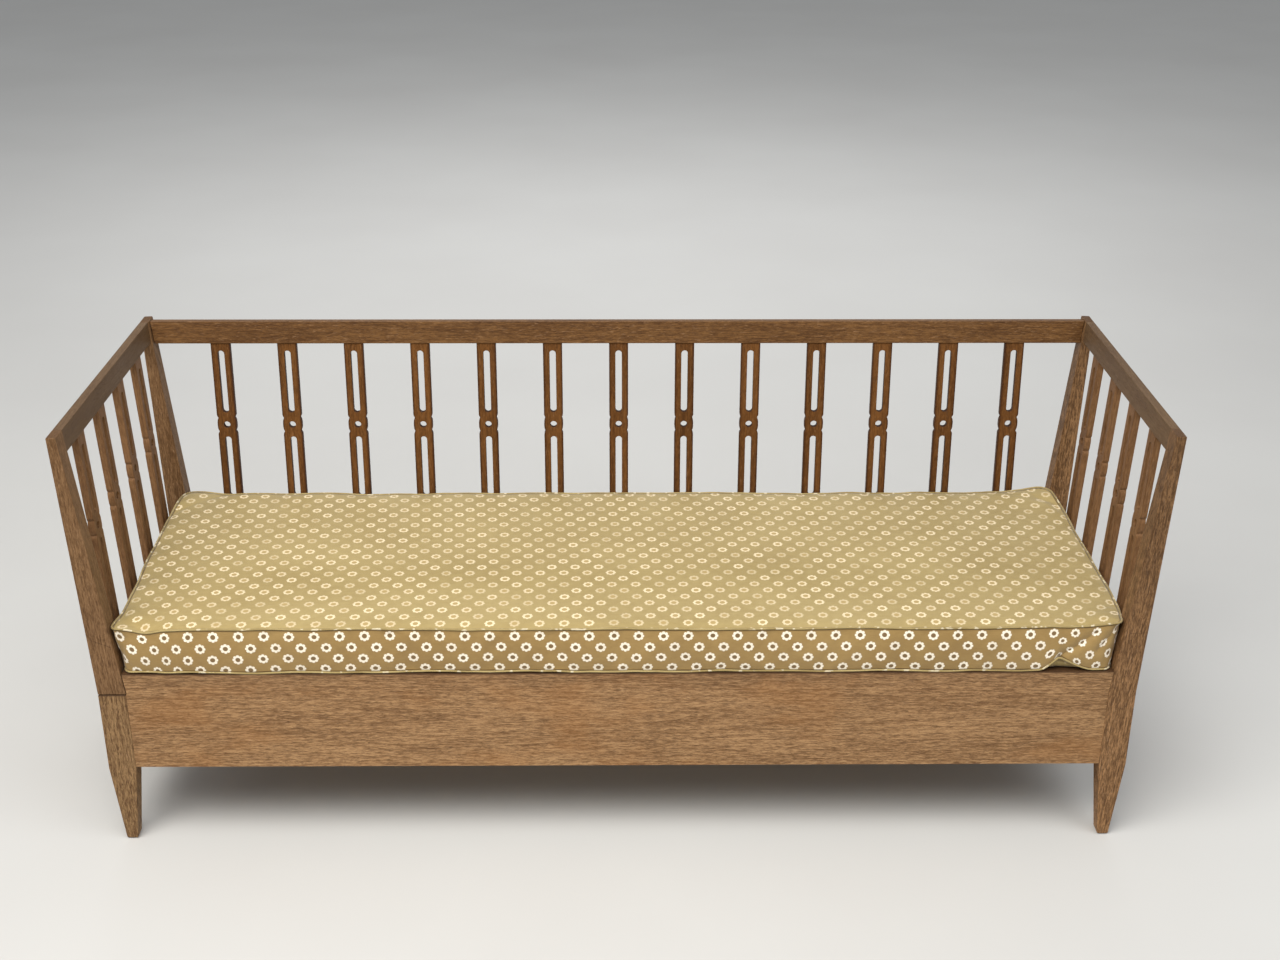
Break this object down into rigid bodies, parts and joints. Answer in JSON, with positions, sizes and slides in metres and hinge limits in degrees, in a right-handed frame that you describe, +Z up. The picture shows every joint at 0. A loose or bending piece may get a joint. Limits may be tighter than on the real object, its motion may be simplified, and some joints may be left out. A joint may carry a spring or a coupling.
{
  "type": "daybed",
  "caption": "Oak daybed with pierced slats in its back and ends, a loose patterned mattress and an end that folds down level with the seat.",
  "frame": {"origin": "on the floor, under the middle of the bed's overall box", "axes": "+X to the right end as seen from the front, +Y towards the back, +Z up"},
  "size_m": [1.84, 0.612, 0.78],
  "materials": {
    "oak_posts": "oiled oak, upright grain",
    "oak_rails": "oiled oak, grain along the rail",
    "oak_slats": "oiled oak, upright grain, darker",
    "oak_aprons": "oiled oak, long grain with dark pores",
    "inner_wood": "plain sawn wood",
    "brass": "aged",
    "steel": "plain",
    "mattress_fabric": "mustard satin weave with small pale flower rings"
  },
  "bodies": {
    "frame": {"left_front_leg": "oak_posts", "left_rear_leg": "oak_posts", "left_side_apron": "oak_aprons", "right_front_post": "oak_posts", "right_rear_post": "oak_posts", "right_side_apron": "oak_aprons", "right_top_rail": "oak_rails", "right_lower_rail": "oak_rails", "right_slat_1": "oak_slats", "right_slat_2": "oak_slats", "right_slat_3": "oak_slats", "right_slat_4": "oak_slats", "front_apron": "oak_aprons", "rear_apron": "oak_aprons", "back_top_rail": "oak_rails", "back_lower_rail": "oak_rails", "back_slat_1": "oak_slats", "back_slat_2": "oak_slats", "back_slat_3": "oak_slats", "back_slat_4": "oak_slats", "back_slat_5": "oak_slats", "back_slat_6": "oak_slats", "back_slat_7": "oak_slats", "back_slat_8": "oak_slats", "back_slat_9": "oak_slats", "back_slat_10": "oak_slats", "back_slat_11": "oak_slats", "back_slat_12": "oak_slats", "back_slat_13": "oak_slats", "back_dowels": "inner_wood", "corner_blocks": "inner_wood", "front_ledger": "inner_wood", "rear_ledger": "inner_wood", "ledger_screws": "steel", "stop_board": "inner_wood", "base_slats": "inner_wood", "hinge_fixed_leaves": "brass", "hinge_pins": "steel", "hinge_screws_fixed": "brass", "button_spacers": "inner_wood", "button_screws": "steel"},
    "left_end": {"left_front_post": "oak_posts", "left_rear_post": "oak_posts", "left_top_rail": "oak_rails", "left_lower_rail": "oak_rails", "left_slat_1": "oak_slats", "left_slat_2": "oak_slats", "left_slat_3": "oak_slats", "left_slat_4": "oak_slats", "hinge_moving_leaves": "brass", "hinge_screws_moving": "brass", "lever_bars": "steel", "lever_screws": "steel"},
    "turn_button_front": {"turn_button_front": "inner_wood"},
    "turn_button_rear": {"turn_button_rear": "inner_wood"},
    "mattress": {"mattress": "mattress_fabric"}
  },
  "joints": [
    {"name": "left_end_fold", "type": "hinge", "parent": "frame", "child": "left_end", "pos_m": [-0.9, 0, 0.3], "axis": [0, -1, 0], "range_deg": [0, 87.3]},
    {"name": "front_button_turn", "type": "hinge", "parent": "frame", "child": "turn_button_front", "pos_m": [-0.87, -0.189, 0.215], "axis": [-1, 0, 0], "range_deg": [0, 90]},
    {"name": "rear_button_turn", "type": "hinge", "parent": "frame", "child": "turn_button_rear", "pos_m": [-0.87, 0.15543, 0.215], "axis": [1, 0, 0], "range_deg": [0, 90]},
    {"name": "mattress_lift", "type": "slide", "parent": "frame", "child": "mattress", "axis": [0, 0, 1], "range_m": [0, 0.3]}
  ]
}
